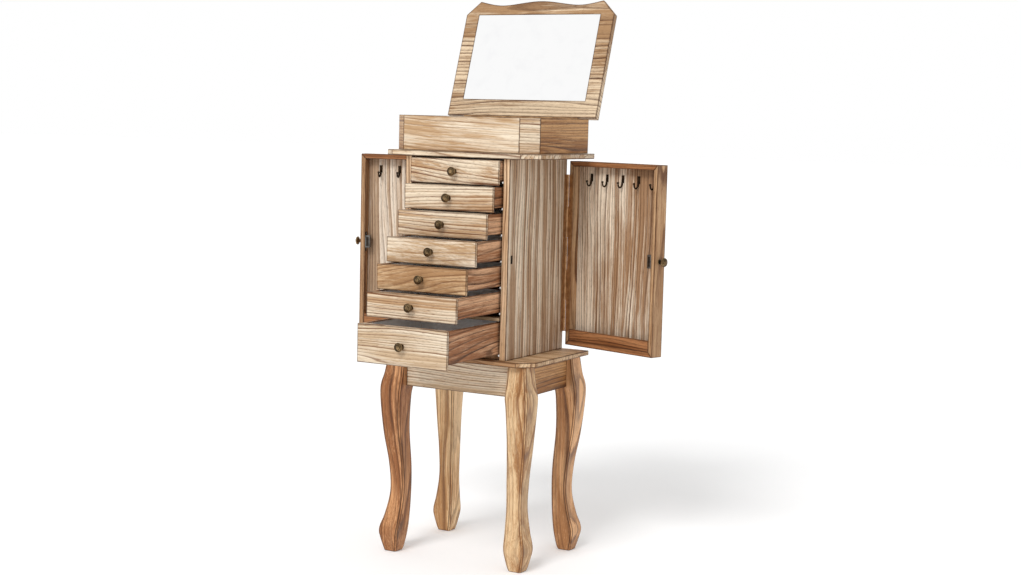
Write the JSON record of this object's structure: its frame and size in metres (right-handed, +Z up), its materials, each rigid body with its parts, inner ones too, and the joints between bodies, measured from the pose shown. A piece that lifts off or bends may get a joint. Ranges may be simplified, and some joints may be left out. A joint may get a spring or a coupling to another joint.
{
  "type": "jewelry armoire",
  "caption": "Jewelry armoire on cabriole legs with a stack of drawers, two swing-out side doors with necklace hooks, and a mirrored lid over a lined top tray.",
  "frame": {"origin": "bottom centre of the part's box at rest, with the drawers, doors and lid open as modelled, at floor level", "axes": "+Z up and the longest extent; drawers open towards -Y; the right door is on +X; the lid leans back towards +Y"},
  "size_m": [0.8354, 0.6114, 1.2628],
  "materials": {
    "light_wood": "satin, pale burnt-grain wood",
    "panel_wood": "satin, greyish striped wood",
    "dark_wood": "satin, warm brown stained wood",
    "leg_wood": "satin, stained wood",
    "inner_wood": "matt, plain inner board",
    "aged_brass": "antiqued, satin",
    "hinge_metal": "antiqued, satin",
    "mirror": "polished",
    "felt": "soft flocked felt",
    "roll_velvet": "soft velvet"
  },
  "bodies": {
    "cabinet": {"apron_front": "dark_wood", "apron_left": "dark_wood", "apron_rear": "dark_wood", "apron_right": "dark_wood", "back_panel": "inner_wood", "base_board": "light_wood", "bay_floor": "dark_wood", "divider_board": "dark_wood", "door_left_hinge_fixed": "hinge_metal", "door_right_hinge_fixed": "hinge_metal", "leg_front_left": "leg_wood", "leg_front_right": "leg_wood", "leg_rear_left": "leg_wood", "leg_rear_right": "leg_wood", "lid_hinge_fixed": "hinge_metal", "ring_rolls": "roll_velvet", "runner_rack_left": "inner_wood", "runner_rack_right": "inner_wood", "side_panel_left": "panel_wood", "side_panel_right": "panel_wood", "tray_front": "light_wood", "tray_insert": "felt", "tray_left": "light_wood", "tray_rear": "light_wood", "tray_right": "light_wood", "waist_board": "light_wood"},
    "drawer_1": {"drawer_1_front": "light_wood", "drawer_1_box": "dark_wood", "drawer_1_knob": "aged_brass"},
    "drawer_2": {"drawer_2_front": "light_wood", "drawer_2_box": "dark_wood", "drawer_2_knob": "aged_brass"},
    "drawer_3": {"drawer_3_front": "light_wood", "drawer_3_box": "dark_wood", "drawer_3_knob": "aged_brass"},
    "drawer_4": {"drawer_4_front": "light_wood", "drawer_4_box": "dark_wood", "drawer_4_knob": "aged_brass"},
    "drawer_5": {"drawer_5_front": "light_wood", "drawer_5_box": "dark_wood", "drawer_5_knob": "aged_brass"},
    "drawer_6": {"drawer_6_front": "light_wood", "drawer_6_box": "dark_wood", "drawer_6_knob": "aged_brass"},
    "drawer_7": {"drawer_7_front": "light_wood", "drawer_7_box": "dark_wood", "drawer_7_knob": "aged_brass"},
    "door_left": {"door_left_frame": "dark_wood", "door_left_panel": "panel_wood", "door_left_hook_rail": "aged_brass", "door_left_knob": "aged_brass", "door_left_hinge_leaf": "hinge_metal"},
    "door_right": {"door_right_frame": "dark_wood", "door_right_panel": "panel_wood", "door_right_hook_rail": "aged_brass", "door_right_knob": "aged_brass", "door_right_hinge_leaf": "hinge_metal"},
    "lid": {"lid_board": "light_wood", "lid_mirror": "mirror", "lid_hinge_leaf": "hinge_metal"}
  },
  "joints": [
    {"name": "drawer_1_slide", "type": "slide", "parent": "cabinet", "child": "drawer_1", "axis": [0, -1, 0], "range_m": [-0.0123, 0.2127]},
    {"name": "drawer_2_slide", "type": "slide", "parent": "cabinet", "child": "drawer_2", "axis": [0, -1, 0], "range_m": [-0.0348, 0.1902]},
    {"name": "drawer_3_slide", "type": "slide", "parent": "cabinet", "child": "drawer_3", "axis": [0, -1, 0], "range_m": [-0.0599, 0.1651]},
    {"name": "drawer_4_slide", "type": "slide", "parent": "cabinet", "child": "drawer_4", "axis": [0, -1, 0], "range_m": [-0.1031, 0.1219]},
    {"name": "drawer_5_slide", "type": "slide", "parent": "cabinet", "child": "drawer_5", "axis": [0, -1, 0], "range_m": [-0.1398, 0.0852]},
    {"name": "drawer_6_slide", "type": "slide", "parent": "cabinet", "child": "drawer_6", "axis": [0, -1, 0], "range_m": [-0.1775, 0.0475]},
    {"name": "drawer_7_slide", "type": "slide", "parent": "cabinet", "child": "drawer_7", "axis": [0, -1, 0], "range_m": [-0.2109, 0.0141]},
    {"name": "door_left_hinge", "type": "hinge", "parent": "cabinet", "child": "door_left", "pos_m": [-0.13078, 0.19396, 0.68525], "axis": [0, 0, -1], "range_deg": [-78.5, 31.5]},
    {"name": "door_right_hinge", "type": "hinge", "parent": "cabinet", "child": "door_right", "pos_m": [0.13612, 0.19396, 0.68525], "axis": [0, 0, 1], "range_deg": [-72.3, 37.7]},
    {"name": "lid_hinge", "type": "hinge", "parent": "cabinet", "child": "lid", "pos_m": [0.00267, 0.20001, 0.99125], "axis": [1, 0, 0], "range_deg": [0, 108.5]}
  ]
}
